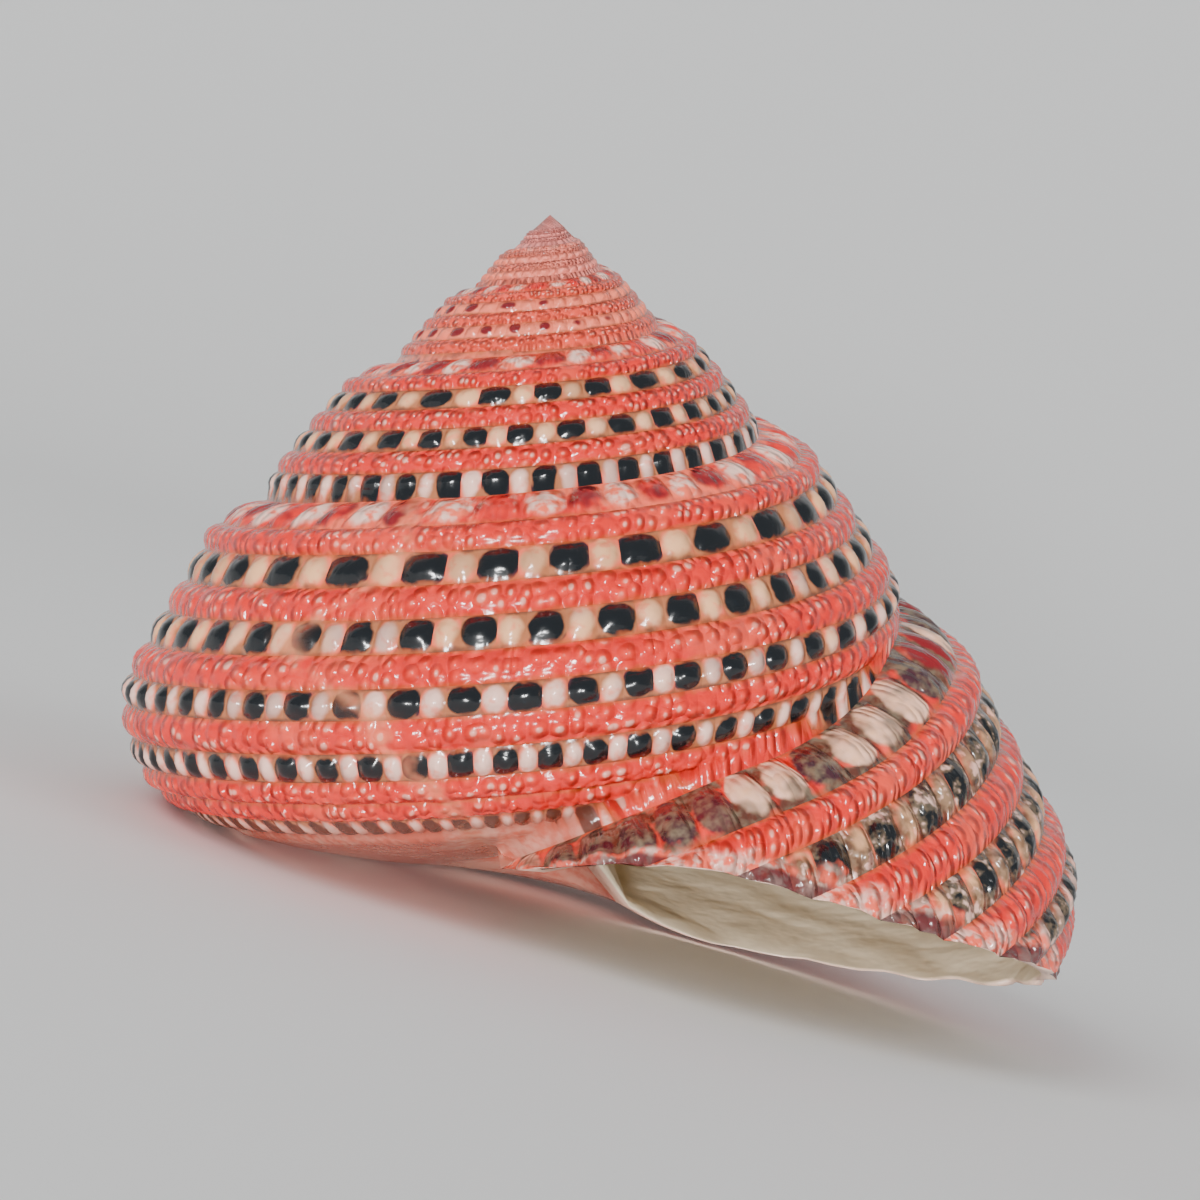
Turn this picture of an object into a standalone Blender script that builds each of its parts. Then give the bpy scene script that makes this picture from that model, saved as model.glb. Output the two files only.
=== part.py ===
# A strawberry top shell: a small conical sea snail's shell, grown as one piece.
# The shell is a tube that grows wider as it winds round an upright axis, each whorl resting on the
# one before. Lengths are in millimetres until the mesh is made. Age counts whorls from the tip.

import bmesh
import bpy
import numpy as np
from mathutils import Matrix, Vector

MM = 0.001

# Growth: where the outside of the tube lies at one age, and how fast it widens and sinks with age.
# Cords are the spiral rows that run round the tube, numbered from the seam to the navel.
SECTION_AGE = 5.0
LIP_AGE = 5.28
FIRST_CORD = 0.5
LAST_CORD = 19.0
SECTION = (                      # cord number, distance from the axis, depth below the tip
    (FIRST_CORD, 7.52, 8.12),    # seam with the whorl above
    (1.5, 8.62, 8.82),           # shoulder
    (3.0, 9.22, 10.03),
    (5.0, 10.02, 11.65),
    (7.0, 10.70, 13.30),
    (9.0, 10.31, 14.98),         # rounded edge of the base
    (10.5, 9.25, 15.60),
    (12.0, 7.84, 15.88),
    (15.0, 4.90, 16.38),
    (18.0, 2.10, 15.72),
    (LAST_CORD, 1.30, 15.10),    # just inside the navel
)
WIDEN = (0.429, 0.0137, 0.0543)    # growth rate at the seam, less per cord, less per whorl of age
SINK = (0.658, 0.0153, 0.0075)
BASE_EDGE = 9.0
BASE_SINK = 0.017                  # growth rate less still, per cord under the base
EARLY_AGE = -3.0                   # ages this far before SECTION_AGE keep a steady rate
LAST_DROP = 31.3                   # how the last part of the tube sinks and draws in, per whorl squared
LAST_DRAW = 6.1
LIP_SWELL = 0.12                   # the mouth end stands out, most at the edge of the base
LIP_FLARE = 0.055
LIP_SWELL_SPAN = 0.2
REST_SWELL = 0.24                  # a slight swelling left where growth once paused
REST_SWELL_AGE = 3.75
REST_SWELL_SPAN = 0.5
SEAM_CORD = 7.9                    # cord of the whorl above that the seam follows
SEAM_CLIMB = 0.75                  # cords it moves on per whorl, and more steeply in the last part
SEAM_SLIDE = 1040.0
SEAM_SLIDE_POWER = 4
SEAM_BLEND = 2.0                   # cords over which the tube is drawn in to meet the seam
LAST_CORD_GAP = 0.6                # cords closer than this to the next seam are left out

# Lip: each cord ends earlier than the seam does, so the mouth opens obliquely
LIP_LAG = (0.0395, 0.00155)        # whorls per cord, less per cord squared
LIP_LAG_TURN = 12.0
BASE_LAG = 0.016

# Beads and cords: how far the surface lies below the bead tops at SECTION_AGE
BEADED_CORDS = (3, 5, 7, 9, 12)
BEAD_COLUMNS = 2                   # columns of the grid from one bead to the next
SHOULDER_CORD = 1
SHOULDER_BEAD_COLUMNS = 4
BEAD_GAP = 0.24
PLAIN_CORD = 0.12
SEAM_GROOVE = 0.18
SMOOTH_CORD = 18
RELIEF_GROWTH = 0.45

# Grid
COLUMNS_PER_TURN = 112
COLUMN_GROWTH = 0.27
SIDE_CORDS = 13
BASE_CORDS = (16.0, 17.2, 18.2, LAST_CORD)
AGE_STEP = 0.01                    # steps over which the slope of the surface is taken
CORD_STEP = 0.1

# Hollow
WALL = 0.62
SEAM_WALL = 1.5
RIM = 0.40                         # half of the lip's rounded edge
HOLLOW_TURN = 0.30                 # how far round the hollow goes
HOLLOW_RINGS = 9
TIP_DEPTH = 0.02
NAVEL_DEPTH = 12.4

# How the shell stands on a level surface: tilts in degrees, and the small flat spot worn on its base
REST_NOD = 5.2
REST_LEAN = -15.0
FOOT_CUT = 0.26

COLOUR = (0.80, 0.14, 0.08, 1.0)
ROUGHNESS = 0.35


def through(points, x):
    """Smooth curve through (x, y) points."""
    xs, ys = np.array(points, dtype=float).T
    slope = np.gradient(ys, xs)
    i = np.clip(np.searchsorted(xs, x, side="right") - 1, 0, len(xs) - 2)
    width = xs[i + 1] - xs[i]
    f = (x - xs[i]) / width
    start = ys[i] * (2 * f**3 - 3 * f**2 + 1) + slope[i] * width * (f**3 - 2 * f**2 + f)
    end = ys[i + 1] * (3 * f**2 - 2 * f**3) + slope[i + 1] * width * (f**3 - f**2)
    return start + end


def tube_point(age, cord):
    """Point on the outside of the tube, before its beads."""
    age, cord = np.broadcast_arrays(np.asarray(age, dtype=float), np.asarray(cord, dtype=float))
    u = age - SECTION_AGE
    bend = np.where(u > EARLY_AGE, u**2, EARLY_AGE * (2 * u - EARLY_AGE))
    late = np.maximum(u, 0)
    radius = through([(c, r) for c, r, _ in SECTION], cord)
    depth = through([(c, d) for c, _, d in SECTION], cord)
    radius = radius * np.exp((WIDEN[0] - WIDEN[1] * (cord - FIRST_CORD)) * u - WIDEN[2] * bend)
    swell = LIP_SWELL + LIP_FLARE * np.minimum(cord, BASE_EDGE)
    radius = radius - LAST_DRAW * late**2 + swell * np.exp(-(u / LIP_SWELL_SPAN)**2)
    radius = radius + REST_SWELL * np.exp(-((age - REST_SWELL_AGE) / REST_SWELL_SPAN)**2)
    sink = SINK[0] - SINK[1] * (cord - FIRST_CORD) - BASE_SINK * np.maximum(cord - BASE_EDGE, 0)
    depth = depth * np.exp(sink * u - SINK[2] * bend) + LAST_DROP * late**2
    angle = -2 * np.pi * u
    return np.stack([radius * np.cos(angle), radius * np.sin(angle), -depth], axis=-1)


def seam_cord(age):
    """Cord of the whorl above on which the seam lies at this age."""
    u = np.asarray(age, dtype=float) - SECTION_AGE
    return SEAM_CORD + SEAM_CLIMB * u + SEAM_SLIDE * np.maximum(u, 0)**SEAM_SLIDE_POWER


def shell_point(age, cord):
    """Point on the tube, drawn in near its seam until it meets the whorl above."""
    age, cord = np.broadcast_arrays(np.asarray(age, dtype=float), np.asarray(cord, dtype=float))
    gap = tube_point(age - 1, seam_cord(age)) - tube_point(age, FIRST_CORD)
    near_seam = np.exp(-(cord - FIRST_CORD) / SEAM_BLEND) * np.clip(age - 1, 0, 1)
    return tube_point(age, cord) + gap * near_seam[..., None]


def outward(age, cord):
    """Unit normal of the tube."""
    along = shell_point(age + AGE_STEP, cord) - shell_point(age - AGE_STEP, cord)
    lower = shell_point(age, np.minimum(cord + CORD_STEP, LAST_CORD))
    upper = shell_point(age, np.maximum(cord - CORD_STEP, FIRST_CORD))
    normal = np.cross(along, lower - upper)
    return normal / np.linalg.norm(normal, axis=-1, keepdims=True)


def lag(cord):
    """How much earlier than the seam this cord ends at the lip."""
    side = np.minimum(cord, LIP_LAG_TURN) - FIRST_CORD
    under = np.maximum(cord - LIP_LAG_TURN, 0)
    return LIP_LAG[0] * side - LIP_LAG[1] * side**2 + BASE_LAG * under


def column_ages():
    """Ages at the seam of the grid's columns, closer together on the older, larger whorls."""
    ages = [LIP_AGE]
    while ages[-1] > 0:
        per_turn = COLUMNS_PER_TURN * np.exp(COLUMN_GROWTH * (ages[-1] - SECTION_AGE))
        ages.append(ages[-1] - 1 / per_turn)
    return np.array(ages[::-1][1:])


def relief(column, cord, age):
    """Depth below the bead tops: beads stand up at every other column, or in pairs on the shoulder."""
    scale = np.exp(RELIEF_GROWTH * (age - SECTION_AGE))
    if cord == SHOULDER_CORD:
        on_bead = column % SHOULDER_BEAD_COLUMNS < SHOULDER_BEAD_COLUMNS / 2
        return scale * (0.0 if on_bead else BEAD_GAP)
    if cord in BEADED_CORDS:
        return scale * (0.0 if column % BEAD_COLUMNS else BEAD_GAP)
    if cord >= SMOOTH_CORD:
        return 0.0
    return scale * (SEAM_GROOVE if cord < 1 else PLAIN_CORD)


class Grid:
    """Vertices and faces gathered for the one mesh."""

    def __init__(self):
        self.points = []
        self.faces = []

    def add(self, point):
        self.points.append(tuple(point))
        return len(self.points) - 1

    def face(self, *corners):
        distinct = [c for i, c in enumerate(corners) if c != corners[i - 1]]
        if len(set(distinct)) > 2:
            self.faces.append(distinct)

    def band(self, upper, lower):
        """Quads between two rows of equal length."""
        for i in range(len(upper) - 1):
            self.face(upper[i], upper[i + 1], lower[i + 1], lower[i])

    def zip_rows(self, upper, upper_ages, lower, lower_ages):
        """Triangles between two rows whose points don't pair up."""
        i = j = 0
        while i < len(upper) - 1 or j < len(lower) - 1:
            go_upper = j == len(lower) - 1 or (i < len(upper) - 1 and upper_ages[i + 1] < lower_ages[j + 1])
            if go_upper:
                self.face(upper[i], upper[i + 1], lower[j])
                i += 1
            else:
                self.face(upper[i], lower[j + 1], lower[j])
                j += 1

    def fan(self, loop, centre):
        hub = self.add(centre)
        for i in range(len(loop)):
            self.face(loop[i - 1], loop[i], hub)


def build_shell():
    grid = Grid()
    seam_end = float(seam_cord(LIP_AGE))
    side_cords = [FIRST_CORD] + [float(c) for c in range(1, SIDE_CORDS + 1)]
    cords = side_cords + [seam_end] + list(BASE_CORDS)
    meet = len(side_cords)
    ages = column_ages()
    first_full = int(np.argmin(np.abs(ages - lag(seam_end) - (LIP_AGE - 1))))

    # Outside: a column of points for each age, as far down as the next seam, or to the navel
    columns = []
    for j, seam_age in enumerate(ages):
        column = []
        for cord in cords:
            age = seam_age - lag(cord)
            hidden = j < first_full and cord > seam_cord(age + 1) - LAST_CORD_GAP
            if hidden:
                break
            inset = relief(j, cord, age) * outward(age, cord)
            column.append(grid.add(shell_point(age, cord) - inset))
        columns.append(column)
    mouth_top = columns[first_full][meet]
    columns[-1][0] = mouth_top
    for left, right in zip(columns, columns[1:]):
        shared = min(len(left), len(right))
        grid.band(left[:shared], right[:shared])
        if len(left) < len(right) and right is not columns[first_full]:
            grid.face(left[-1], right[shared - 1], right[shared])
        if len(left) > len(right):
            grid.face(left[shared - 1], right[-1], left[shared])

    # Each whorl's lower edge meets the seam of the next
    lower_edge = [c[-1] for c in columns[:first_full]] + [mouth_top]
    lower_ages = [ages[j] - lag(cords[len(columns[j]) - 1]) for j in range(first_full)] + [LIP_AGE - 1]
    lower_ages = list(np.minimum.accumulate(lower_ages[::-1])[::-1])
    first_seam = int(np.searchsorted(ages, lower_ages[0] + 1))
    seam = [c[0] for c in columns[first_seam:]]
    grid.zip_rows(lower_edge, lower_ages, seam, list(ages[first_seam:] - 1))
    # The first full column goes on from there down to the mouth
    before = columns[first_full - 1]
    for k in range(len(before) - 1, meet):
        grid.face(before[-1], columns[first_full][k], columns[first_full][k + 1])

    # Tip and navel
    tip_loop = [c[0] for c in columns[:first_seam + 1]] + columns[0][:0:-1]
    grid.fan(tip_loop, (0, 0, -TIP_DEPTH))
    navel = [c[-1] for c in columns[first_full:]]
    grid.fan(navel, (0, 0, -NAVEL_DEPTH))

    # Mouth and hollow: rings that follow the tube back inside, between it and the whorl above
    outer = columns[-1]
    inner = columns[first_full][:meet:-1]
    rings = [outer + inner]
    for n in range(HOLLOW_RINGS):
        back = max(n - 1, 0) * HOLLOW_TURN / (HOLLOW_RINGS - 2)
        wall = RIM if n == 0 else WALL
        outside = [shell_point(LIP_AGE - lag(c) - back, c) for c in cords]
        seat = seam_cord(LIP_AGE - back)
        depth = np.linspace(1, 0, len(inner) + 1)[:-1]
        above = [seat + (LAST_CORD - seat) * f for f in depth]
        inside = [shell_point(LIP_AGE - 1 - lag(c) + lag(seam_end) - back, c) for c in above]
        ring = np.array(outside + inside)
        to_middle = ring.mean(axis=0) - ring
        reach = np.linalg.norm(to_middle, axis=1, keepdims=True)
        walls = np.full((len(ring), 1), wall)
        walls[0] = SEAM_WALL
        ring = ring + to_middle * walls / reach
        rings.append([grid.add(p) for p in ring])
    for a, b in zip(rings, rings[1:]):
        grid.band(a + a[:1], b + b[:1])
    last = [grid.points[i] for i in rings[-1]]
    grid.fan(rings[-1], np.mean(last, axis=0))
    return grid


def stand_on_foot(bm):
    """Tilt the shell as it stands, cut its flat spot, and put the middle of its box over the origin."""
    tilt = Matrix.Rotation(np.radians(REST_LEAN), 3, "Y") @ Matrix.Rotation(np.radians(REST_NOD), 3, "X")
    bmesh.ops.rotate(bm, cent=(0, 0, 0), matrix=tilt, verts=bm.verts)
    foot = min(v.co.z for v in bm.verts) + FOOT_CUT * MM
    everything = bm.verts[:] + bm.edges[:] + bm.faces[:]
    cut = bmesh.ops.bisect_plane(bm, geom=everything, dist=1e-7, plane_co=(0, 0, foot),
                                 plane_no=(0, 0, -1), clear_outer=True)
    rim = [e for e in cut["geom_cut"] if isinstance(e, bmesh.types.BMEdge)]
    bmesh.ops.triangle_fill(bm, edges=rim, use_beauty=True, use_dissolve=False)
    low = [min(v.co[i] for v in bm.verts) for i in range(2)]
    high = [max(v.co[i] for v in bm.verts) for i in range(2)]
    centre = Vector(((low[0] + high[0]) / 2, (low[1] + high[1]) / 2, foot))
    bmesh.ops.translate(bm, vec=-centre, verts=bm.verts)


def make_object(name, grid):
    mesh = bpy.data.meshes.new(name)
    mesh.from_pydata([Vector(p) * MM for p in grid.points], [], grid.faces)
    bm = bmesh.new()
    bm.from_mesh(mesh)
    loose = [v for v in bm.verts if not v.link_faces]
    bmesh.ops.delete(bm, geom=loose, context="VERTS")
    stand_on_foot(bm)
    bmesh.ops.recalc_face_normals(bm, faces=bm.faces)
    bm.to_mesh(mesh)
    bm.free()
    mesh.shade_smooth()
    shell = bpy.data.objects.new(name, mesh)
    bpy.context.scene.collection.objects.link(shell)
    return shell


for old in list(bpy.data.objects):
    bpy.data.objects.remove(old, do_unlink=True)

shell = make_object("shell", build_shell())
paint = bpy.data.materials.new("shell")
paint.use_nodes = True
surface = paint.node_tree.nodes["Principled BSDF"]
surface.inputs["Base Color"].default_value = COLOUR
surface.inputs["Roughness"].default_value = ROUGHNESS
surface.inputs["Metallic"].default_value = 0.0
shell.data.materials.append(paint)
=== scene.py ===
# A strawberry top shell: a small conical sea snail's shell with spiral rows of beads.
# Lengths are in millimetres until the mesh is made. Age counts whorls from the tip, and the
# cords are the spiral rows that run round the tube, numbered from the seam to the navel.

import math

import bpy
import numpy as np
from mathutils import Matrix, Vector


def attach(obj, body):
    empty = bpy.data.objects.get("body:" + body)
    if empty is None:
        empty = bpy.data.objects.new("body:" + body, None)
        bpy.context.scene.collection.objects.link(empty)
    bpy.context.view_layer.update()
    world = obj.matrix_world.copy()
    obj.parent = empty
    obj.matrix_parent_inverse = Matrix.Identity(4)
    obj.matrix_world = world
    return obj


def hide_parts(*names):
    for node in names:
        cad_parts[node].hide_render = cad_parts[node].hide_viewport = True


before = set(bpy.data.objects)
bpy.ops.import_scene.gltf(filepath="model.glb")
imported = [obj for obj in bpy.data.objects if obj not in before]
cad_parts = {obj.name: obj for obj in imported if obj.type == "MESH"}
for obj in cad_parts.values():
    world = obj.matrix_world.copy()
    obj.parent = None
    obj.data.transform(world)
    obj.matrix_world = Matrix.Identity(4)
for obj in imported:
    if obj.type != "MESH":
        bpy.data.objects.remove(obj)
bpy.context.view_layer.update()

MM = 0.001
TURN = 2 * math.pi

# Growth of the tube, as in the part's source
SECTION_AGE = 5.0
LIP_AGE = 5.28
FIRST_CORD = 0.5
LAST_CORD = 19.0
SECTION = (                      # cord number, distance from the axis, depth below the tip
    (FIRST_CORD, 7.52, 8.12),    # seam with the whorl above
    (1.5, 8.62, 8.82),           # shoulder
    (3.0, 9.22, 10.03),
    (5.0, 10.02, 11.65),
    (7.0, 10.70, 13.30),
    (9.0, 10.31, 14.98),         # rounded edge of the base
    (10.5, 9.60, 15.68),
    (12.0, 8.35, 16.02),
    (15.0, 5.10, 16.14),
    (18.0, 2.15, 15.60),
    (LAST_CORD, 1.30, 15.10),    # just inside the navel
)
WIDEN = (0.429, 0.0137, 0.0543)  # growth per whorl: at the seam, less per cord, slowing
SINK = (0.658, 0.0153, 0.0075)
BASE_EDGE = 9.0                  # cord at the rounded edge of the base
BASE_SINK = 0.017
EARLY_AGE = -3.0
LAST_DROP = 31.3
LAST_DRAW = 6.1
LIP_SWELL = 0.12
LIP_FLARE = 0.055
LIP_SWELL_SPAN = 0.2
REST_SWELL = 0.24
REST_SWELL_AGE = 3.75
REST_SWELL_SPAN = 0.5
SEAM_CORD = 7.9
SEAM_CLIMB = 0.75
LAST_SEAM = (                    # age and cord of the seam in the last part, where it drops
    (4.90, 7.82), (5.00, 7.90), (5.06, 8.10), (5.10, 9.15), (5.14, 9.80),
    (5.18, 10.30), (5.22, 11.50), (5.25, 12.90), (LIP_AGE, 14.50),
)
SEAM_BLEND = 2.0
LIP_LAG = (                      # how many whorls earlier than the seam each cord ends
    (FIRST_CORD, 0.0), (0.8, 0.008), (1.1, 0.040), (2.0, 0.080), (3.0, 0.106), (5.0, 0.149), (7.0, 0.190),
    (9.0, 0.234), (11.0, 0.258), (13.0, 0.276), (15.0, 0.300), (17.0, 0.326), (LAST_CORD, 0.360),
)
LIP_SCALLOP = 0.0024             # small waves of the lip's edge below the base's edge
LIP_WAVES = 4.3
RELIEF_GROWTH = 0.45
TIP_DEPTH = 0.02
TIP_WORN = 0.10                  # the finished tip is blunter than the solid's by this
NAVEL_DEPTH = 12.4
REST_NOD = 5.2                   # degrees by which the shell leans when it stands
REST_LEAN = -15.0

# Rows of beads: how many pairs there are in a turn at FRONT_AGE, and how they crowd later
FRONT_AGE = 4.25
PAIRS = 13.6
PAIRS_PER_CORD = 4.6
PAIR_GROWTH = 0.24
CROWD_AGE = 4.8
CROWD = 0.6
RED_PITCH = 1.25                 # red beads stand closer than the black and white ones
SHOULDER_PITCH = 1.2
SHOULDER_CROWD = 0.15
DARK_WIDER = 0.07
GRANULE_ROW = 5.0                # the granules of all cords are as close as in step with this row
GRANULES = 2.1
GRANULES_PER_CORD = 1.9
CHECKERED = (3, 5, 7, 9, 12)     # cords with black and white beads
CHECKER_START = {3: 0.35, 5: 0.1, 7: 0.6, 9: 0.2, 12: 0.4}
GROOVE = 0.20                    # depth between two cords
BELOW_CREST = 0.07
BEAD_SHARE = 0.80                # part of that depth between two beads of a checkered cord
RED_BEAD_SHARE = 0.35
SHOULDER_SHARE = 0.85
BASE_SMOOTH = (12.4, 13.8)       # cords over which the rows of the base fade

# Colour: sizes of the grains and clouds in noise cells per metre, and the ages where things change
GRAIN = 4200.0
PATCHES = 1500.0
CLOUDS = 450.0
FOLDS = 260.0
EARLY = (3.1, 2.4)               # older than this the black beads shrink to small red dots
DOTS_END = (2.4, 1.9)            # and here they end
LATE = (4.94, 5.08)              # from here the black and white rows turn mottled
KNOBS = (4.74, 4.86)             # from here the shoulder has knobs
WORN = (2.2, 1.1)                # whorls worn pale
VERY_WORN = (1.7, 0.8)
BASE_ROWS_END = (11.4, 12.4)     # cords over which the red rows give way to the pink base
MARGIN = (0.018, 0.008)          # pale margin, in whorls from the lip
MARGIN_SPOT = (0.012, 0.007)

# Scar of an old break of the lip: cord and age
SCAR = (
    (FIRST_CORD, 4.328), (3.0, 4.322), (4.0, 4.338), (5.0, 4.362), (6.0, 4.345), (7.0, 4.320),
    (8.0, 4.311), (9.0, 4.300), (LAST_CORD, 4.300),
)
SCAR_SPAN = 0.006

# Mesh
TURN_COLUMNS = 600
COLUMN_GROWTH = 0.5
FULL_COLUMNS_AGE = 4.0
LINES_PER_CORD = 5
SIDE_CORDS = 13.5
BASE_LINES = 0.5
SEAM_GAP = 0.12
WALL = 0.62
SEAM_WALL = 1.5
RIM = 0.42
RIM_TURN = 0.03
HOLLOW_TURN = 0.45
HOLLOW_RINGS = 22
INSIDE = 20.0                    # added to the cord number of the hollow's surface

# Camera: where it stands against the shell's own axis
VIEW_DOWN = 0.1444
VIEW_ROLL = 0.0126
AIM_DEPTH = 7.942
DISTANCE = 77.32
LENS = 111.0
SHIFT = (0.0456, -0.0079)


def through(points, x):
    """Smooth curve through (x, y) points."""
    xs, ys = np.array(points, dtype=float).T
    slope = np.gradient(ys, xs)
    i = np.clip(np.searchsorted(xs, x, side="right") - 1, 0, len(xs) - 2)
    width = xs[i + 1] - xs[i]
    f = (x - xs[i]) / width
    start = ys[i] * (2 * f**3 - 3 * f**2 + 1) + slope[i] * width * (f**3 - 2 * f**2 + f)
    end = ys[i + 1] * (3 * f**2 - 2 * f**3) + slope[i + 1] * width * (f**3 - f**2)
    return start + end


def tube_point(age, cord):
    """Point on the outside of the tube, before its beads."""
    age, cord = np.broadcast_arrays(np.asarray(age, dtype=float), np.asarray(cord, dtype=float))
    u = age - SECTION_AGE
    bend = np.where(u > EARLY_AGE, u**2, EARLY_AGE * (2 * u - EARLY_AGE))
    late = np.maximum(u, 0)
    radius = through([(c, r) for c, r, _ in SECTION], cord)
    depth = through([(c, d) for c, _, d in SECTION], cord)
    radius = radius * np.exp((WIDEN[0] - WIDEN[1] * (cord - FIRST_CORD)) * u - WIDEN[2] * bend)
    swell = LIP_SWELL + LIP_FLARE * np.minimum(cord, BASE_EDGE)
    radius = radius - LAST_DRAW * late**2 + swell * np.exp(-(u / LIP_SWELL_SPAN)**2)
    radius = radius + REST_SWELL * np.exp(-((age - REST_SWELL_AGE) / REST_SWELL_SPAN)**2)
    sink = SINK[0] - SINK[1] * (cord - FIRST_CORD) - BASE_SINK * np.maximum(cord - BASE_EDGE, 0)
    depth = depth * np.exp(sink * u - SINK[2] * bend) + LAST_DROP * late**2
    angle = -2 * np.pi * u
    return np.stack([radius * np.cos(angle), radius * np.sin(angle), -depth], axis=-1)


def seam_cord(age):
    """Cord of the whorl above on which the seam lies at this age."""
    age = np.minimum(age, LIP_AGE)
    steady = SEAM_CORD + SEAM_CLIMB * (age - SECTION_AGE)
    return np.where(age < SECTION_AGE, steady, through(LAST_SEAM, age))


def shell_point(age, cord):
    """Point on the tube, drawn in near its seam until it meets the whorl above."""
    age, cord = np.broadcast_arrays(np.asarray(age, dtype=float), np.asarray(cord, dtype=float))
    gap = tube_point(age - 1, seam_cord(age)) - tube_point(age, FIRST_CORD)
    near_seam = np.exp(-(cord - FIRST_CORD) / SEAM_BLEND) * np.clip(age - 1, 0, 1)
    return tube_point(age, cord) + gap * near_seam[..., None]


def outward(age, cord):
    """Unit normal of the tube."""
    along = shell_point(age + 0.01, cord) - shell_point(age - 0.01, cord)
    lower = shell_point(age, np.minimum(cord + 0.1, LAST_CORD))
    upper = shell_point(age, np.maximum(cord - 0.1, FIRST_CORD))
    normal = np.cross(along, lower - upper)
    return normal / np.linalg.norm(normal, axis=-1, keepdims=True)


def lag(cord):
    """How much earlier than the seam this cord ends at the lip."""
    cord = np.asarray(cord, dtype=float)
    waves = np.sin(cord * LIP_WAVES) * np.clip(cord - BASE_EDGE, 0, 1)
    return through(LIP_LAG, cord) + LIP_SCALLOP * waves


# Bead formulas that serve the mesh, with arrays, and the colours, with node sockets

class Wire:
    """A number in a material's node tree, with ordinary arithmetic."""

    def __init__(self, socket):
        self.socket = socket
        self.tree = socket.id_data

    def math(self, operation, *others):
        node = self.tree.nodes.new("ShaderNodeMath")
        node.operation = operation
        for slot, value in zip(node.inputs, (self,) + others):
            plug(self.tree, value, slot)
        return Wire(node.outputs[0])

    def __add__(self, other):
        return self.math("ADD", other)

    def __radd__(self, other):
        return self.math("ADD", other)

    def __sub__(self, other):
        return self.math("SUBTRACT", other)

    def __rsub__(self, other):
        return (self * -1.0).math("ADD", other)

    def __mul__(self, other):
        return self.math("MULTIPLY", other)

    def __rmul__(self, other):
        return self.math("MULTIPLY", other)

    def __gt__(self, other):
        return self.math("GREATER_THAN", other)


def plug(tree, value, slot):
    """Join a wire to a node's input, or set the input to a plain value."""
    if isinstance(value, Wire):
        tree.links.new(value.socket, slot)
    else:
        slot.default_value = value


def each(wire_operation, array_function, x, *others):
    """The same sum on a wire, with a node, or on an array."""
    if isinstance(x, Wire):
        return x.math(wire_operation, *others)
    return array_function(x, *others)


def floor(x):
    return each("FLOOR", np.floor, x)


def largest(x, y):
    return each("MAXIMUM", np.maximum, x, y)


def smallest(x, y):
    return each("MINIMUM", np.minimum, x, y)


def wave(x):
    return each("SINE", np.sin, x)


def power_of_e(x):
    return each("EXPONENT", np.exp, x)


def size_of(x):
    return each("ABSOLUTE", np.abs, x)


def ramp(x, low, high):
    """0 below low, 1 above high, and smooth between; low may be the larger."""
    f = smallest(largest((x - low) * (1.0 / (high - low)), 0.0), 1.0)
    return f * f * (3.0 - 2.0 * f)


def row_of(cord):
    return floor(cord + 0.5)


def is_row(row, number):
    """1 on one row and 0 on all others."""
    return 1.0 - smallest(size_of(row - float(number)), 1.0)


def checkered(row):
    return sum((is_row(row, n) for n in CHECKERED[1:]), is_row(row, CHECKERED[0]))


def bead_count(age, row):
    """Beads passed since FRONT_AGE along a row; even ones are the dark ones of a checkered row."""
    w = age - FRONT_AGE
    late = largest(age - CROWD_AGE, 0.0)
    checks = checkered(row)
    shoulder = is_row(row, 1)
    turns = (power_of_e(w * PAIR_GROWTH) - 1.0) * (1.0 / PAIR_GROWTH)
    turns = turns + late * late * (1.0 - shoulder) * CROWD + late * shoulder * SHOULDER_CROWD
    pairs = (row * PAIRS_PER_CORD + PAIRS) * turns
    pairs = pairs + wave(age * 31.0 + row * 2.1) * 0.10
    start = sum((is_row(row, n) * s for n, s in CHECKER_START.items()), row * 0.37 * (1.0 - checks))
    pitch = (1.0 - checks) * (RED_PITCH - 1.0) + shoulder * (SHOULDER_PITCH - RED_PITCH) + 1.0
    pairs = pairs * pitch + start
    return pairs * 2.0 - wave(pairs * TURN) * checks * DARK_WIDER


def bead_shape(age, cord):
    """Across and along a bead, each from -1 to 1, with the row and the bead's number."""
    row = row_of(cord)
    beads = bead_count(age, row) + 0.5
    number = floor(beads)
    return (cord - row) * 2.0, (beads - number) * 2.0 - 1.0, row, number


def bead_height(age, cord):
    """Height of the beads: 1 on their crests and 0 in the grooves between two cords."""
    across, along, row, _ = bead_shape(age, cord)
    ridge = 1.0 - across * across
    checks = checkered(row)
    shoulder = is_row(row, 1)
    share = checks * (BEAD_SHARE - RED_BEAD_SHARE) + RED_BEAD_SHARE
    share = share + shoulder * (SHOULDER_SHARE - RED_BEAD_SHARE)
    bead = 1.0 - share * along * along
    height = ridge * bead
    fade = ramp(cord, BASE_SMOOTH[0], BASE_SMOOTH[1])
    return height * (1.0 - fade) + fade


# The mesh

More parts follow.
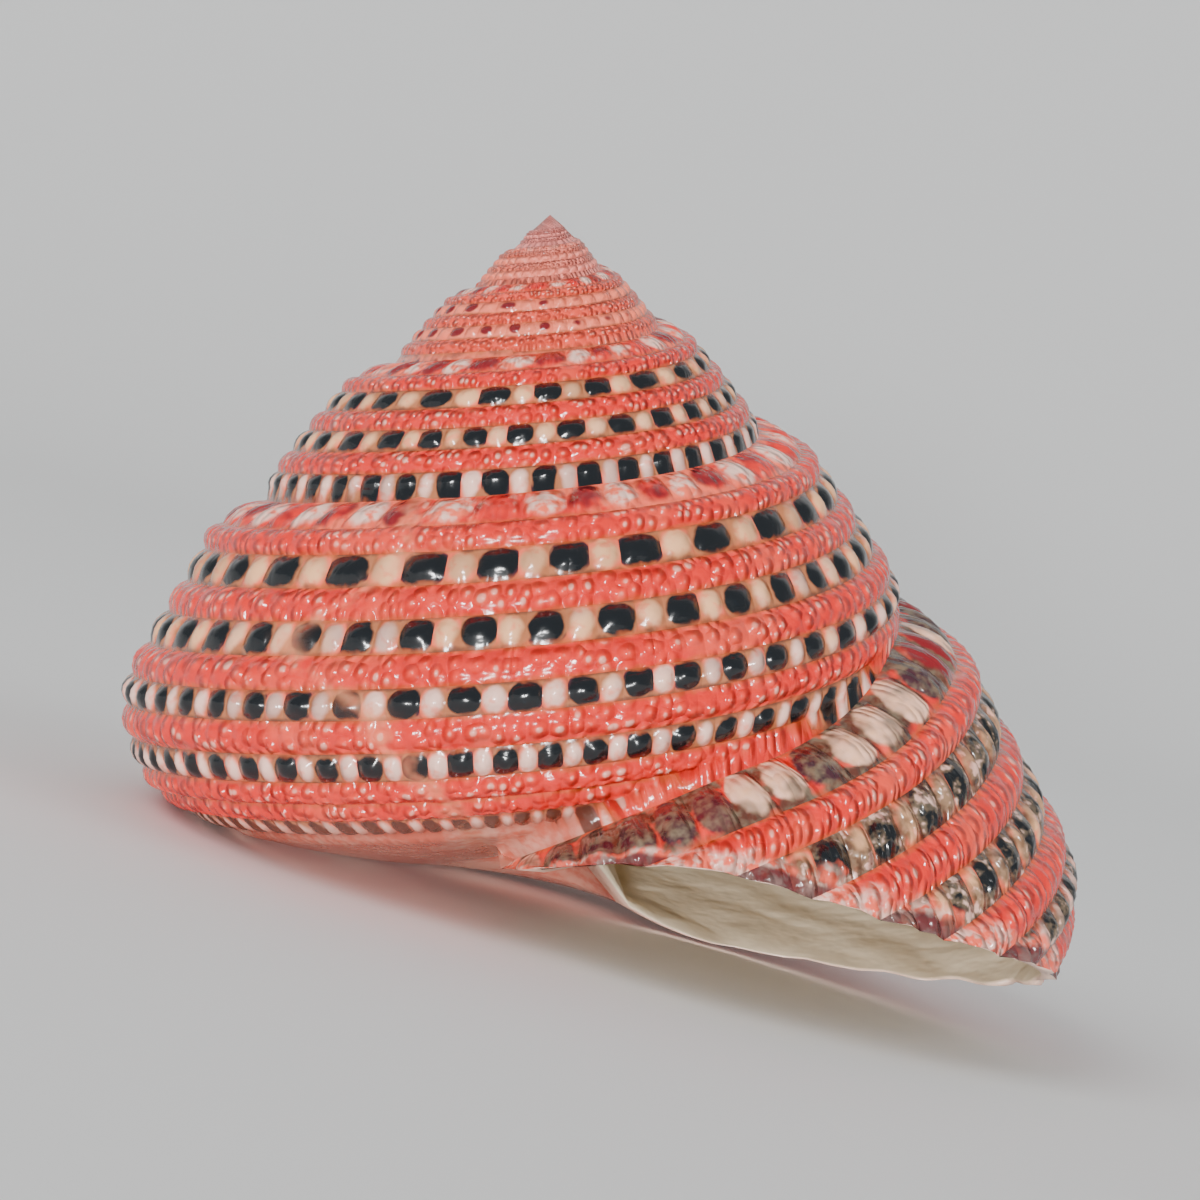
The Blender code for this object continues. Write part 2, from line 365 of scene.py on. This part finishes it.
class Skin:
    """Points and faces of the shell, with the age and cord that each face corner shows."""

    def __init__(self):
        self.points = []
        self.faces = []
        self.corners = []

    def add(self, points):
        first = len(self.points)
        self.points.extend(np.asarray(points).tolist())
        return list(range(first, len(self.points)))

    def face(self, corners, places):
        kept = [i for i in range(len(corners)) if corners[i] != corners[i - 1]]
        if len({corners[i] for i in kept}) > 2:
            self.faces.append([corners[i] for i in kept])
            self.corners.extend(places[i] for i in kept)

    def strip(self, upper, upper_places, lower, lower_places):
        """Faces between two rows of points, matched by their ages."""
        i = j = 0
        while i < len(upper) - 1 or j < len(lower) - 1:
            more_upper = i < len(upper) - 1
            more_lower = j < len(lower) - 1
            if more_upper and more_lower and abs(upper_places[i + 1][0] - lower_places[j + 1][0]) < 1e-6:
                self.face([upper[i], upper[i + 1], lower[j + 1], lower[j]],
                          [upper_places[i], upper_places[i + 1], lower_places[j + 1], lower_places[j]])
                i += 1
                j += 1
            elif more_upper and (not more_lower or upper_places[i + 1][0] < lower_places[j + 1][0]):
                self.face([upper[i], upper[i + 1], lower[j]],
                          [upper_places[i], upper_places[i + 1], lower_places[j]])
                i += 1
            else:
                self.face([upper[i], lower[j + 1], lower[j]],
                          [upper_places[i], lower_places[j + 1], lower_places[j]])
                j += 1

    def band(self, upper, upper_places, lower, lower_places):
        """Quads between two closed rings."""
        for i in range(len(upper)):
            self.face([upper[i - 1], upper[i], lower[i], lower[i - 1]],
                      [upper_places[i - 1], upper_places[i], lower_places[i], lower_places[i - 1]])

    def fan(self, loop, places, hub, hub_place):
        centre = self.add([hub])[0]
        for i in range(len(loop)):
            self.face([loop[i - 1], loop[i], centre], [places[i - 1], places[i], hub_place])


def column_ages():
    ages = [LIP_AGE]
    while ages[-1] > 0:
        older = min(ages[-1] - FULL_COLUMNS_AGE, 0)
        ages.append(ages[-1] - 1 / (TURN_COLUMNS * math.exp(COLUMN_GROWTH * older)))
    return np.array(ages[::-1][1:])


def scar_distance(age, cord):
    return np.asarray(age) - through(SCAR, cord)


def surface(age, cord):
    """Point on the finished outside, beads and all."""
    scale = np.exp(RELIEF_GROWTH * (age - SECTION_AGE))
    height = bead_height(age, cord)
    height = height + (0.55 - height) * 0.8 * np.exp(-(scar_distance(age, cord) / SCAR_SPAN)**2)
    depth = BELOW_CREST + GROOVE * scale * (1 - height)
    return shell_point(age, cord) - depth[..., None] * outward(age, cord)


def build_skin():
    skin = Skin()
    seam_end = float(seam_cord(LIP_AGE))
    ages = column_ages()
    cords = list(np.arange(FIRST_CORD, SIDE_CORDS, 1 / LINES_PER_CORD))
    cords += list(np.arange(SIDE_CORDS, LAST_CORD + 0.01, BASE_LINES))
    cords = [c for c in cords if abs(c - seam_end) > 0.2] + [seam_end]
    cords = np.array(sorted(cords))
    meet = int(np.searchsorted(cords, seam_end))

    # Where each line of the grid comes out from under the next whorl, and where it ends at the lip
    table = np.linspace(ages[0], LIP_AGE - 1, 2000)
    starts = np.interp(cords + SEAM_GAP, seam_cord(table + 1), table)
    starts[meet:] = LIP_AGE - 1 + lag(seam_end) - lag(cords[meet:])
    ends = LIP_AGE - lag(cords)
    lines = []
    places = []
    for cord, start, end in zip(cords, starts, ends):
        spare = 0.3 / TURN_COLUMNS
        inner = ages[(ages > start + spare) & (ages < end - spare)]
        line_ages = np.concatenate([[start], inner, [end]])
        lines.append(skin.add(surface(line_ages, np.full(len(line_ages), cord))))
        places.append([(a, cord) for a in line_ages])
    mouth_top = lines[meet][0]
    lines[0][-1] = mouth_top

    # Strips between the lines, and the seam with the whorl above
    edge = []
    edge_places = []
    for k in range(len(lines) - 1):
        first = 0
        if starts[k + 1] > starts[k]:
            line_ages = np.array([p[0] for p in places[k]])
            first = int(np.searchsorted(line_ages, starts[k + 1], side="right")) - 1
        if k < meet:
            edge += lines[k][:first + 1] if starts[k + 1] > starts[0] else [lines[k][0]]
            edge_places += places[k][:first + 1] if starts[k + 1] > starts[0] else [places[k][0]]
        skin.strip(lines[k][first:], places[k][first:], lines[k + 1], places[k + 1])
    at_tip = int(np.sum(starts[:meet] <= starts[0] + 1e-9))
    column = edge[:at_tip]
    column_places = edge_places[:at_tip]
    edge = edge[at_tip - 1:] + [mouth_top]
    edge_places = edge_places[at_tip - 1:] + [(LIP_AGE - 1, seam_end)]
    seam_ages = np.array([p[0] for p in places[0]])
    first_seam = int(np.searchsorted(seam_ages, edge_places[0][0] + 1))
    seam_places = [(a - 1, float(seam_cord(a))) for a in seam_ages[first_seam:]]
    skin.strip(edge, edge_places, lines[0][first_seam:], seam_places)

    # Tip and navel
    tip = lines[0][:first_seam + 1] + column[:0:-1]
    tip_places = places[0][:first_seam + 1] + column_places[:0:-1]
    skin.fan(tip, tip_places, (0, 0, -TIP_DEPTH - TIP_WORN), (0.0, FIRST_CORD))
    skin.fan(lines[-1], places[-1], (0, 0, -NAVEL_DEPTH), (LIP_AGE - 0.5, LAST_CORD))

    # Mouth and hollow: rings that follow the tube back inside
    outer = [line[-1] for line in lines]
    inner = [line[0] for line in lines[:meet:-1]]
    ring = outer + inner
    ring_cords = np.concatenate([cords, cords[:meet:-1]])
    ring_places = [(LIP_AGE - lag(c), INSIDE + c) for c in ring_cords]
    for n in range(HOLLOW_RINGS):
        back = HOLLOW_TURN * (n / (HOLLOW_RINGS - 1))**1.6
        wall = RIM + (WALL - RIM) * min(back / RIM_TURN, 1)**0.7
        outside = shell_point(LIP_AGE - lag(cords) - back, cords)
        seat = seam_cord(LIP_AGE - back)
        above = seat + (LAST_CORD - seat) * np.linspace(1, 0, len(inner) + 1)[:-1]
        inside = shell_point(LIP_AGE - 1 - lag(above) + lag(seam_end) - back, above)
        points = np.concatenate([outside, inside])
        to_middle = points.mean(axis=0) - points
        reach = np.linalg.norm(to_middle, axis=1, keepdims=True)
        walls = np.full((len(points), 1), wall)
        walls[:4, 0] = np.linspace(SEAM_WALL * wall / WALL, wall, 4)
        next_ring = skin.add(points + to_middle * walls / reach)
        next_places = [(LIP_AGE - lag(c) - back, INSIDE + c) for c in ring_cords]
        skin.band(ring, ring_places, next_ring, next_places)
        ring = next_ring
        ring_places = next_places
    end = np.mean([skin.points[i] for i in ring], axis=0)
    skin.fan(ring, ring_places, end, (LIP_AGE - HOLLOW_TURN, INSIDE + 7.0))
    return skin


def standing():
    """Turn and move that set the shell down as the solid stands."""
    turn = Matrix.Rotation(math.radians(REST_LEAN), 3, "Y") @ Matrix.Rotation(math.radians(REST_NOD), 3, "X")
    cad_tip = max((v.co for v in bpy.data.objects["shell"].data.vertices), key=lambda p: p.z)
    move = cad_tip - turn @ Vector((0, 0, -TIP_DEPTH * MM))
    return turn, move


def make_shell():
    skin = build_skin()
    turn, move = standing()
    points = np.array(skin.points) @ np.array(turn).T * MM + np.array(move)
    points[:, 2] = np.maximum(points[:, 2], 0)
    mesh = bpy.data.meshes.new("grown_shell")
    mesh.from_pydata(points.tolist(), [], skin.faces)
    corners = np.array(skin.corners)
    growth = mesh.uv_layers.new(name="growth")
    growth.data.foreach_set("uv", corners.astype(np.float32).ravel())
    age, cord = corners[:, 0], corners[:, 1] % INSIDE
    marks = np.stack([LIP_AGE - lag(cord) - age, np.clip(scar_distance(age, cord), -1, 1)], axis=-1)
    events = mesh.uv_layers.new(name="events")
    events.data.foreach_set("uv", marks.astype(np.float32).ravel())
    piece = bpy.data.objects.new("grown_shell", mesh)
    bpy.context.scene.collection.objects.link(piece)
    bpy.ops.object.select_all(action="DESELECT")
    piece.select_set(True)
    bpy.context.view_layer.objects.active = piece
    bpy.ops.object.mode_set(mode="EDIT")
    bpy.ops.mesh.select_all(action="SELECT")
    bpy.ops.mesh.delete_loose()
    bpy.ops.mesh.select_all(action="SELECT")
    bpy.ops.mesh.normals_make_consistent(inside=False)
    bpy.ops.object.mode_set(mode="OBJECT")
    bpy.ops.object.shade_smooth()
    return piece


# Colours, as linear values
BLACK = (0.002, 0.004, 0.006)
PURPLE_BROWN = (0.050, 0.012, 0.020)
AMBER = (0.42, 0.14, 0.055)
PINK_WHITE = (0.92, 0.56, 0.45)
TAN_PEACH = (0.88, 0.45, 0.22)
CORAL = (0.88, 0.034, 0.018)
PALE_CORAL = (0.94, 0.13, 0.07)
DEEP_RED = (0.74, 0.018, 0.011)
ORANGE_BROWN = (0.52, 0.10, 0.022)
DARK_RED = (0.22, 0.005, 0.010)
SALMON = (0.94, 0.14, 0.07)
PEACH = (0.95, 0.24, 0.14)
LAVENDER = (0.80, 0.28, 0.28)
OLIVE_GREY = (0.17, 0.12, 0.075)
CREAM = (0.95, 0.81, 0.60)
TAN = (0.74, 0.61, 0.43)
BROWN = (0.10, 0.028, 0.016)
BASE_PINK = (0.70, 0.33, 0.24)
BASE_ROSE = (0.60, 0.13, 0.08)


class Finish:
    """One material's nodes."""

    def __init__(self, name):
        self.material = bpy.data.materials.new(name)
        self.material.use_nodes = True
        self.tree = self.material.node_tree
        self.surface = self.tree.nodes["Principled BSDF"]

    def node(self, kind, output=0, settings=None, **inputs):
        """Any node: its settings, and its inputs by name with spaces as underscores."""
        node = self.tree.nodes.new(kind)
        for key, value in (settings or {}).items():
            setattr(node, key, value)
        for key, value in inputs.items():
            plug(self.tree, value, node.inputs[key.replace("_", " ")])
        return Wire(node.outputs[output])

    def pair(self, name):
        """The two numbers of a UV map."""
        uv = self.node("ShaderNodeUVMap", settings={"uv_map": name})
        split = self.tree.nodes.new("ShaderNodeSeparateXYZ")
        plug(self.tree, uv, split.inputs[0])
        return Wire(split.outputs[0]), Wire(split.outputs[1])

    def place(self):
        return self.node("ShaderNodeTexCoord", output="Object")

    def noise(self, vector, scale, detail=2.0):
        return self.node("ShaderNodeTexNoise", Vector=vector, Scale=scale, Detail=detail)

    def granules(self, along, across):
        """Small round lumps packed over a surface: 1 on top of each and 0 between them."""
        place = self.node("ShaderNodeCombineXYZ", X=along, Y=across)
        apart = self.node("ShaderNodeTexVoronoi", settings={"voronoi_dimensions": "2D"},
                          Vector=place, Scale=1.0, Randomness=0.75)
        dome = 1.0 - smallest(apart * apart * 2.8, 1.0)
        return dome * dome

    def chance(self, number):
        """A steady random number from 0 to 1 for each whole number."""
        return self.node("ShaderNodeTexWhiteNoise", settings={"noise_dimensions": "1D"}, W=number)

    def mix(self, factor, first, second):
        node = self.tree.nodes.new("ShaderNodeMix")
        node.data_type = "RGBA"
        plug(self.tree, factor, node.inputs["Factor"])
        for slot, value in ((node.inputs[6], first), (node.inputs[7], second)):
            plug(self.tree, value if isinstance(value, Wire) else (*value, 1.0), slot)
        return Wire(node.outputs[2])

    def bump(self, height, distance, strength=1.0):
        return self.node("ShaderNodeBump", Height=height, Distance=distance, Strength=strength)


def shell_finish():
    f = Finish("beaded_shell")
    age, cord = f.pair("growth")
    to_lip, from_scar = f.pair("events")
    place = f.place()
    across, along, row, number = bead_shape(age, cord)
    grain = f.noise(place, GRAIN)
    patches = f.noise(place, PATCHES)
    clouds = f.noise(place, CLOUDS)
    checks = checkered(row)
    shoulder = is_row(row, 1)
    red_row = 1.0 - checks - shoulder
    height = bead_height(age, cord)
    luck = f.chance(number + row * 100.0)
    inner = cord > INSIDE - 0.5
    scar = power_of_e(from_scar * from_scar * (-1.0 / SCAR_SPAN**2)) * (1.0 - inner)
    granule = f.granules(bead_count(age, GRANULE_ROW) * GRANULES, cord * GRANULES_PER_CORD)
    early = ramp(age + (clouds - 0.5) * 0.6, *EARLY)
    late = ramp(age, *LATE)

    # Red cords, paler on top of their granules and deeper red between them, which is painted light and
    # painted shade, and browner beside the grooves, which is painted shade
    red = f.mix(ramp(granule * 0.6 + (grain - 0.5) * 0.9, 0.0, 0.5), DEEP_RED, CORAL)
    red = f.mix(ramp(granule * 0.6 + (patches - 0.5) * 2.0, 0.3, 1.1) * 0.9, red, PALE_CORAL)
    # Painted highlight: pale pink-white dots on the crests of the granules
    painted_glint = ramp(granule + (patches - 0.5) * 1.6, 0.80, 1.10) * ramp(size_of(across), 0.85, 0.45)
    red = f.mix(painted_glint * 0.55, red, PINK_WHITE)
    red = f.mix(ramp(clouds, 0.54, 0.70) * 0.4, red, SALMON)
    # Painted shade: browner where a cord dips into the groove beside it
    groove_shade = ramp(size_of(across) + (grain - 0.5) * 0.5, 0.72, 1.0)
    red = f.mix(groove_shade * 0.6, red, ORANGE_BROWN)

    # Black beads, and pinkish white or peach ones between them, on a browner ground; the browner ground in
    # the gaps and the salmon and amber rims of the white beads are painted shade
    even = 1.0 - (number - floor(number * 0.5) * 2.0)
    corner = across * across + along * along + (patches - 0.5) * 1.3 + (grain - 0.5) * 0.4
    edge = f.mix(ramp(patches + luck * 0.2, 0.50, 0.62), PURPLE_BROWN, AMBER)
    black_bead = f.mix(ramp(corner, 1.15, 0.80), edge, BLACK)
    peach_row = ramp(row + (clouds - 0.5) * 8.0 + luck * 1.5, 7.6, 5.6)
    white = f.mix(ramp(grain, 0.50, 0.72) * 0.5, f.mix(peach_row, PINK_WHITE, TAN_PEACH), SALMON)
    white = f.mix(ramp(clouds + luck * 0.2, 0.62, 0.76) * 0.35, white, PURPLE_BROWN)
    # Painted shade: each white bead fades to salmon and amber towards its rim
    white_bead = f.mix(ramp(corner, 1.1, 0.3), f.mix(ramp(patches, 0.4, 0.6), SALMON, AMBER), white)
    dot = ramp(corner + early * 0.8 + ramp(age, *DOTS_END), 1.45, 1.15)
    pale = f.mix(early, white_bead, f.mix(grain, SALMON, PEACH))
    # Painted shade: a browner colour in the gaps between the beads and round their corners
    bead_gap_shade = f.mix(ramp(patches, 0.40, 0.60), f.mix(peach_row, PURPLE_BROWN, ORANGE_BROWN), AMBER)
    pale = f.mix(ramp(corner, 0.95, 1.5) * (1.0 - early) * 0.7, pale, bead_gap_shade)
    beads = f.mix(even * dot, pale, f.mix(early * 0.8, black_bead, DARK_RED))
    # Painted shade: browner where the bead rows dip into the grooves between cords
    beads = f.mix(groove_shade * 0.75, beads, f.mix(ramp(patches, 0.4, 0.6), ORANGE_BROWN, BROWN))

    # Last part: the black and white rows turn mottled and greyish
    speckle = f.mix(ramp(grain + (patches - 0.5) * 0.8, 0.42, 0.60), BLACK, OLIVE_GREY)
    speckle = f.mix(ramp(grain + (patches - 0.5) * 0.5, 0.57, 0.70), speckle, PINK_WHITE)
    beads = f.mix(late * ramp(patches + even * 0.2, 0.35, 0.60) * 0.8, beads, speckle)
    skin = f.mix(checks, red, beads)

    # Shoulder: pinkish with dark red marks, then round knobs of red, brown or cream
    plain = f.mix(ramp(clouds + (grain - 0.5) * 0.5, 0.46, 0.66), red, SALMON)
    pink = f.mix(ramp(grain + luck * 0.2, 0.42, 0.66), SALMON, PINK_WHITE)
    mark = f.mix(even, pink, f.mix(ramp(patches + luck * 0.2, 0.50, 0.70), DARK_RED, DEEP_RED))
    early_skin = f.mix(ramp(corner, 1.15, 0.45), plain, mark)
    cream_knob = f.mix(ramp(patches, 0.42, 0.68) * 0.8, f.mix(grain, PINK_WHITE, TAN_PEACH), OLIVE_GREY)
    knob = f.mix(ramp(luck, 0.26, 0.28), cream_knob, DARK_RED)
    knob = f.mix(ramp(luck, 0.58, 0.60), knob, f.mix(ramp(grain, 0.35, 0.7), PURPLE_BROWN, OLIVE_GREY))
    between = f.mix(ramp(patches, 0.38, 0.52), red, f.mix(ramp(grain, 0.35, 0.7), BROWN, OLIVE_GREY))
    late_skin = f.mix(ramp(corner, 0.95, 0.60), between, knob)
    skin = f.mix(shoulder, skin, f.mix(ramp(age, *KNOBS), early_skin, late_skin))

    # Base, and the older whorls that are worn pale
    low = ramp(cord, *BASE_ROWS_END)
    base = f.mix(low, skin, f.mix(ramp(clouds + (grain - 0.5) * 0.5, 0.35, 0.65), BASE_ROSE, BASE_PINK))
    base = f.mix(is_row(row, 12) * even * ramp(corner, 1.0, 0.6) * 0.8, base, BROWN)
    worn = f.mix(early * red_row * 0.45, base, SALMON)
    worn = f.mix(ramp(age + (patches - 0.5) * 1.4, *WORN) * 0.9, worn, f.mix(grain, SALMON, PEACH))
    worn = f.mix(ramp(age + (clouds - 0.5) * 1.4, *VERY_WORN) * 0.55, worn, LAVENDER)
    worn = f.mix(scar * ramp(patches, 0.40, 0.55) * 0.45, worn, f.mix(grain, SALMON, TAN_PEACH))

    # Pale margin along the lip, with a dark spot where each checkered cord ends
    margin = ramp(to_lip + (patches - 0.5) * 0.030 + (grain - 0.5) * 0.016, *MARGIN)
    spot = (checks + shoulder) * ramp(to_lip + (patches - 0.5) * 0.008, *MARGIN_SPOT)
    spot = spot * ramp(cord, 0.9, 1.3)
    edge_skin = f.mix(ramp(grain, 0.42, 0.62), PALE_CORAL, PINK_WHITE)
    outside = f.mix(margin * 0.9, worn, f.mix(spot * 0.9, edge_skin, PURPLE_BROWN))

    # Smooth lining with fine slanting folds
    folds = f.node("ShaderNodeTexWave", settings={"wave_type": "BANDS", "bands_direction": "DIAGONAL"},
                   Vector=place, Scale=FOLDS, Distortion=5.0, Detail=3.0, Detail_Scale=1.5)
    lining = f.mix(folds * 0.5 + ramp(clouds, 0.45, 0.65) * 0.5, CREAM, TAN)
    lining = f.mix(ramp(to_lip, 0.004, 0.0) * 0.7, lining, PINK_WHITE)
    colour = f.mix(inner, outside, lining)

    plug(f.tree, colour, f.surface.inputs["Base Color"])
    gloss = grain * 0.12 + ramp(age, 2.6, 1.2) * 0.25 + inner * 0.15 + 0.16
    plug(f.tree, gloss, f.surface.inputs["Roughness"])
    f.surface.inputs["Specular IOR Level"].default_value = 0.6
    f.surface.inputs["Coat Weight"].default_value = 0.3
    f.surface.inputs["Coat Roughness"].default_value = 0.18

    lumps = granule * (red_row * 0.8 + shoulder * 0.4 + checks * (0.08 + late * 0.5))
    lumps = lumps + grain * (0.20 - checks * 0.12)
    relief = (height * 0.5 + lumps) * (1.0 - scar * 0.6) * (1.0 - low)
    relief = relief * (1.0 - inner) + (folds * 0.3 + patches * 0.5) * inner
    plug(f.tree, f.bump(relief, 0.00016, 0.9), f.surface.inputs["Normal"])
    return f.material


def plain_finish(name, colour, roughness):
    f = Finish(name)
    soft = f.noise(f.place(), 8.0)
    shade = f.mix(soft * 0.1, colour, tuple(c * 0.9 for c in colour))
    plug(f.tree, shade, f.surface.inputs["Base Color"])
    f.surface.inputs["Roughness"].default_value = roughness
    return f.material


def make_stage():
    """Pale sheet that runs back under the shell and curves up behind it."""
    bpy.ops.object.select_all(action="DESELECT")
    bpy.ops.mesh.primitive_plane_add(size=1.0, location=(0, 0, 0))
    sheet = bpy.context.object
    sheet.name = "pale_sweep"
    bend_start = 0.10
    bend_radius = 0.25
    outline = [(-0.8, 0.0), (bend_start, 0.0)]
    for i in range(1, 33):
        a = math.radians(90 * i / 32)
        outline.append((bend_start + bend_radius * math.sin(a), bend_radius * (1 - math.cos(a))))
    outline.append((bend_start + bend_radius, 1.6))
    points = [(x, y, z) for y, z in outline for x in (-1.5, 1.5)]
    faces = [(2 * i, 2 * i + 1, 2 * i + 3, 2 * i + 2) for i in range(len(outline) - 1)]
    sheet.data.clear_geometry()
    sheet.data.from_pydata(points, [], faces)
    sheet.data.shade_smooth()
    sheet.data.materials.append(plain_finish("pale_paper", (0.93, 0.93, 0.92), 0.9))


def shell_axes():
    turn, move = standing()
    forward = Vector((0, math.cos(VIEW_DOWN), -math.sin(VIEW_DOWN)))
    right = Vector((1, 0, 0))
    up = Vector((0, math.sin(VIEW_DOWN), math.cos(VIEW_DOWN)))
    cos_roll, sin_roll = math.cos(VIEW_ROLL), math.sin(VIEW_ROLL)
    rolled_right = right * cos_roll + up * sin_roll
    rolled_up = up * cos_roll - right * sin_roll
    aim = turn @ Vector((0, 0, -AIM_DEPTH * MM)) + move
    return aim, turn @ forward, turn @ rolled_right, turn @ rolled_up


def make_camera():
    aim, forward, right, up = shell_axes()
    data = bpy.data.cameras.new("camera")
    data.lens = LENS
    data.sensor_width = 36.0
    data.shift_x, data.shift_y = SHIFT
    data.clip_start = 0.005
    data.clip_end = 20.0
    camera = bpy.data.objects.new("camera", data)
    rotation = Matrix((right, up, -forward)).transposed()
    camera.matrix_world = Matrix.Translation(aim - forward * DISTANCE * MM) @ rotation.to_4x4()
    bpy.context.scene.collection.objects.link(camera)
    bpy.context.scene.camera = camera


def add_light(name, direction, distance, size, power, glints=True):
    """Square soft light that faces the shell; direction is in right, up and towards the camera."""
    aim, forward, right, up = shell_axes()
    data = bpy.data.lights.new(name, "AREA")
    data.size = size
    data.energy = power
    lamp = bpy.data.objects.new(name, data)
    away = (right * direction[0] + up * direction[1] - forward * direction[2]).normalized()
    facing = away.to_track_quat("Z", "Y").to_matrix().to_4x4()
    lamp.matrix_world = Matrix.Translation(aim + away * distance) @ facing
    lamp.visible_glossy = glints
    bpy.context.scene.collection.objects.link(lamp)


make_camera()
make_stage()
shell = make_shell()
shell.data.materials.append(shell_finish())
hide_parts("shell")
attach(shell, "root")

add_light("front", (-0.10, -0.06, 1.0), 0.34, 0.05, 3.6)
add_light("top", (-0.5, 1.0, 0.7), 0.50, 0.30, 1.0, glints=False)
add_light("side", (1.0, 0.35, 0.5), 0.50, 0.30, 0.5, glints=False)
world = bpy.data.worlds.new("studio")
world.use_nodes = True
world.node_tree.nodes["Background"].inputs["Color"].default_value = (0.95, 0.97, 1.0, 1.0)
world.node_tree.nodes["Background"].inputs["Strength"].default_value = 0.39
bpy.context.scene.world = world
